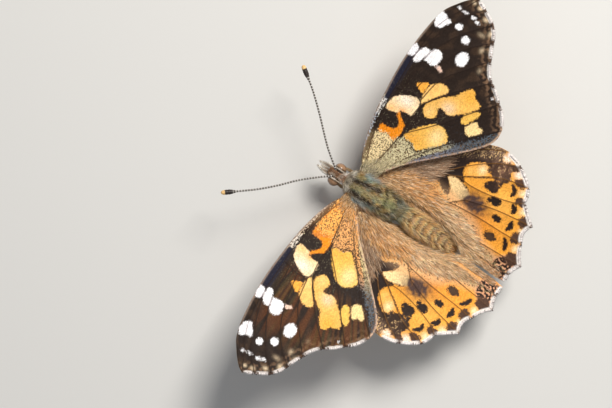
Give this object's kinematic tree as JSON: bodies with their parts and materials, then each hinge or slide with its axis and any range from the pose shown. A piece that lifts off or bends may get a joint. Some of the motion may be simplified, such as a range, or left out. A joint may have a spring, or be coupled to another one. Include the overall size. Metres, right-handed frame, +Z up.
{
  "type": "painted lady butterfly",
  "caption": "Life-size painted lady butterfly with spread wings, standing on its walking legs; a still model for display.",
  "frame": {"origin": "on the floor, under the middle of the butterfly's bounding box", "axes": "+X towards the butterfly's left wing tips, -Y towards its head, +Z up"},
  "size_m": [0.0616, 0.042, 0.017],
  "materials": {
    "thorax_hair": "long olive-brown hair with darker bands",
    "abdomen_hair": "tan hair in rings",
    "head_hair": "short orange-brown hair",
    "wing_scales": "matt scales in orange, cream, black and white",
    "eye": "glossy dark brown, finely faceted",
    "antenna": "dark shaft ringed in white, pale tip",
    "palp_hair": "cream scales, brown above",
    "leg": "pale scaled legs",
    "proboscis": "dark brown coil"
  },
  "bodies": {
    "root": {"head": "head_hair", "thorax": "thorax_hair", "abdomen": "abdomen_hair", "proboscis": "proboscis", "eye_left": "eye", "eye_right": "eye", "antenna_left": "antenna", "antenna_right": "antenna", "palp_left": "palp_hair", "palp_right": "palp_hair", "forewing_left": "wing_scales", "forewing_right": "wing_scales", "hindwing_left": "wing_scales", "hindwing_right": "wing_scales", "foreleg_left": "leg", "foreleg_right": "leg", "midleg_left": "leg", "midleg_right": "leg", "hindleg_left": "leg", "hindleg_right": "leg"}
  },
  "joints": []
}
